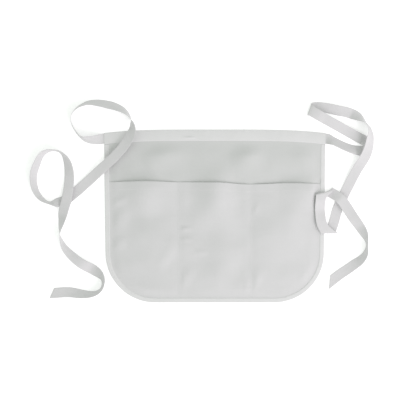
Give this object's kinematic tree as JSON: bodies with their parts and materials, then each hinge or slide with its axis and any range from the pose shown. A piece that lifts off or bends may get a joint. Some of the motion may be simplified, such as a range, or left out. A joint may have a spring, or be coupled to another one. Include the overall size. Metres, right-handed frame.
{
  "type": "bar apron",
  "caption": "White cotton bar apron lying flat: waist panel with rounded lower corners, divided front pocket, folded waistband, bound edge and long loosely looped ties.",
  "frame": {"origin": "on the surface that the apron lies on, under the middle of its panel", "axes": "+X to the right along the waistband as seen from the front, +Y up the apron towards the waistband, +Z out of its front"},
  "size_m": [0.7721, 0.4583, 0.031],
  "materials": {
    "panel_cloth": "matt white poly-cotton twill with soft folds",
    "pocket_cloth": "matt white poly-cotton twill, hemmed at the mouth",
    "waistband_cloth": "matt white twill folded over and topstitched",
    "binding_tape": "matt white bias tape folded over the edge and stitched",
    "tie_tape": "matt white woven herringbone tape"
  },
  "bodies": {
    "root": {"main_panel": "panel_cloth", "pocket_panel": "pocket_cloth", "waistband": "waistband_cloth", "edge_binding": "binding_tape", "left_tie": "tie_tape", "right_tie": "tie_tape"}
  },
  "joints": []
}
